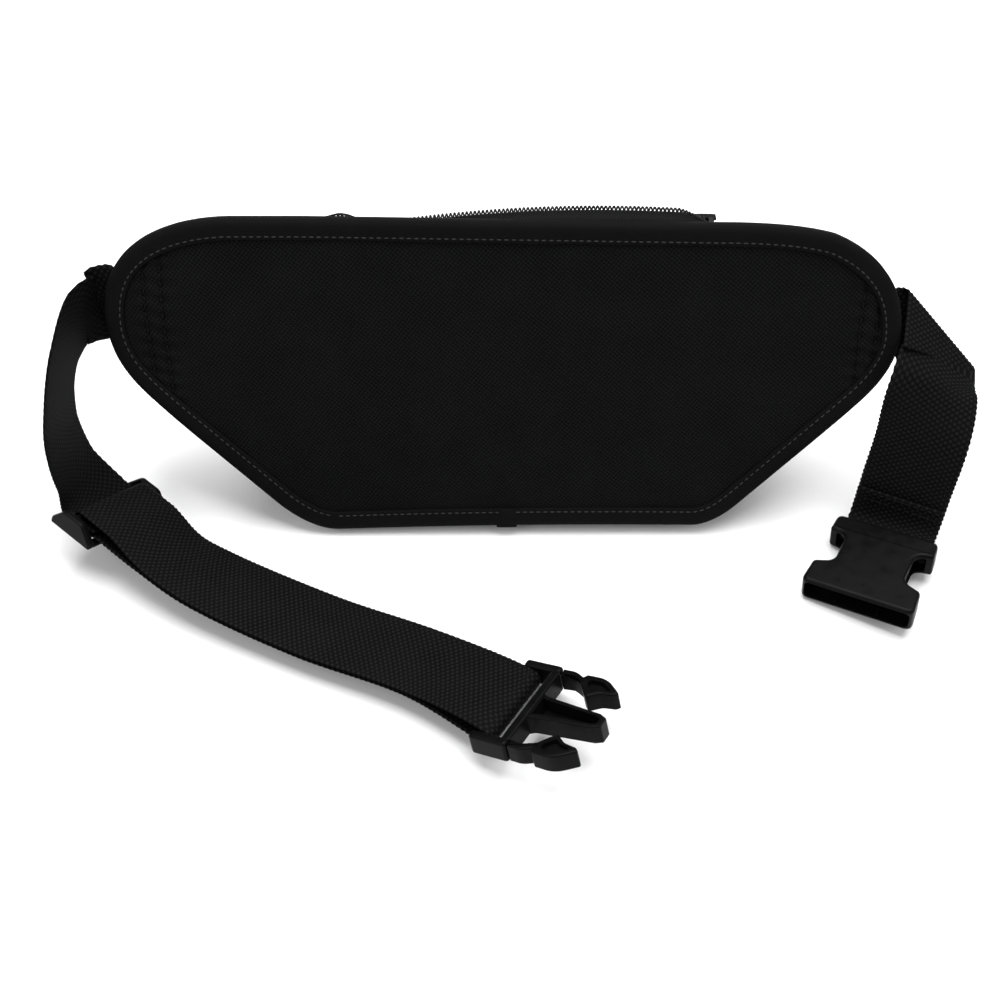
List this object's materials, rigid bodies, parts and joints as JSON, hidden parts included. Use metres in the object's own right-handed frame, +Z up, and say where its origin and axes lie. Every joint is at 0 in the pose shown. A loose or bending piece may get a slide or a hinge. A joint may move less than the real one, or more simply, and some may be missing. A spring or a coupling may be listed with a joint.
{
  "type": "waist pack",
  "caption": "Waist pack with a leaning padded back panel, a curved pouch behind it with a top zip and a zipped pocket, and two webbing straps ending in a side-release buckle.",
  "frame": {"origin": "middle of the flat foot under the pouch, on the table plane", "axes": "+X along the pack from the plug strap's end to the socket strap's end, +Y from the wearer's side to the pouch's front, +Z up"},
  "size_m": [0.394, 0.2317, 0.1317],
  "materials": {
    "shell_fabric": "matte woven synthetic cloth",
    "binding_tape": "ribbed grosgrain tape",
    "foam": "soft foam padding",
    "lining_fabric": "thin smooth lining cloth",
    "webbing": "heavy ribbed webbing",
    "zip_tape": "fine woven zip tape",
    "zip_coil": "nylon coil",
    "slider_metal": "black enamelled metal",
    "buckle_plastic": "satin moulded plastic with a fine grain"
  },
  "bodies": {
    "pack": {"back_panel_fabric": "shell_fabric", "back_foam_pad": "foam", "back_lining": "lining_fabric", "edge_binding": "binding_tape", "front_panel": "shell_fabric", "lower_gusset": "shell_fabric", "left_top_end": "shell_fabric", "right_top_end": "shell_fabric", "rear_top_strip": "shell_fabric", "front_top_strip": "shell_fabric", "rear_zip_tape": "zip_tape", "front_zip_tape": "zip_tape", "rear_zip_coil": "zip_coil", "front_zip_coil": "zip_coil", "zip_end_stop": "slider_metal", "pocket_panel": "shell_fabric", "pocket_zip_tape": "zip_tape", "pocket_zip_coil": "zip_coil", "left_strap_anchor": "webbing", "right_strap_anchor": "webbing"},
    "left_strap": {"left_strap_webbing": "webbing"},
    "adjuster": {"tri_glide": "buckle_plastic", "adjuster_loop": "webbing"},
    "plug": {"buckle_plug": "buckle_plastic"},
    "plug_far_arm": {"plug_arm_far": "buckle_plastic"},
    "plug_near_arm": {"plug_arm_near": "buckle_plastic"},
    "right_strap": {"right_strap_webbing": "webbing"},
    "socket": {"buckle_socket": "buckle_plastic"},
    "zip_slider": {"zip_slider": "slider_metal"},
    "zip_pull": {"zip_pull_tab": "slider_metal"},
    "pocket_slider": {"pocket_zip_slider": "slider_metal"},
    "pocket_pull": {"pocket_pull_tab": "slider_metal"}
  },
  "joints": [
    {"name": "left_strap_swing", "type": "hinge", "parent": "pack", "child": "left_strap", "pos_m": [-0.1655, 0.0153, 0.089], "axis": [0, 0.3746, 0.9272], "range_deg": [-35, 3]},
    {"name": "adjuster_slide", "type": "slide", "parent": "left_strap", "child": "adjuster", "axis": [0.7859, -0.5987, -0.1547], "range_m": [-0.002, 0.02]},
    {"name": "plug_tilt", "type": "hinge", "parent": "left_strap", "child": "plug", "pos_m": [-0.00065, -0.13042, 0.00926], "axis": [0.508, 0.8506, -0.1356], "range_deg": [-50, 50]},
    {"name": "far_arm_squeeze", "type": "hinge", "parent": "plug", "child": "plug_far_arm", "pos_m": [0.02174, -0.11887, 0.01074], "axis": [-0.2017, 0.2706, 0.9413], "range_deg": [-6, 0], "stiffness_Nm_per_rad": 0.2},
    {"name": "near_arm_squeeze", "type": "hinge", "parent": "plug", "child": "plug_near_arm", "pos_m": [0.0004, -0.15459, 0.01644], "axis": [-0.2017, 0.2706, 0.9413], "range_deg": [0, 6], "stiffness_Nm_per_rad": 0.2},
    {"name": "right_strap_swing", "type": "hinge", "parent": "pack", "child": "right_strap", "pos_m": [0.1504, 0.0115, 0.08], "axis": [0, 0.3746, 0.9272], "range_deg": [-1, 35]},
    {"name": "socket_tilt", "type": "hinge", "parent": "right_strap", "child": "socket", "pos_m": [0.16217, -0.04675, 0.0088], "axis": [0.8692, -0.4818, 0.1115], "range_deg": [-10, 10]},
    {"name": "zip_travel", "type": "hinge", "parent": "pack", "child": "zip_slider", "pos_m": [0.035, 0.0375, -0.3727], "axis": [0, 1, 0], "range_deg": [0, 17.3]},
    {"name": "zip_pull_lift", "type": "hinge", "parent": "zip_slider", "child": "zip_pull", "pos_m": [-0.09102, 0.0375, 0.11539], "axis": [0, 1, 0], "range_deg": [0, 150]},
    {"name": "pocket_zip_travel", "type": "hinge", "parent": "pack", "child": "pocket_slider", "pos_m": [0, -0.73931, 0.084], "axis": [0, 0, 1], "range_deg": [-5, 5]},
    {"name": "pocket_pull_lift", "type": "hinge", "parent": "pocket_slider", "child": "pocket_pull", "pos_m": [0, 0.06539, 0.084], "axis": [1, 0, 0], "range_deg": [0, 140]}
  ],
  "couplings": [
    {"joint": "near_arm_squeeze", "follows": "far_arm_squeeze", "ratio": -1}
  ]
}
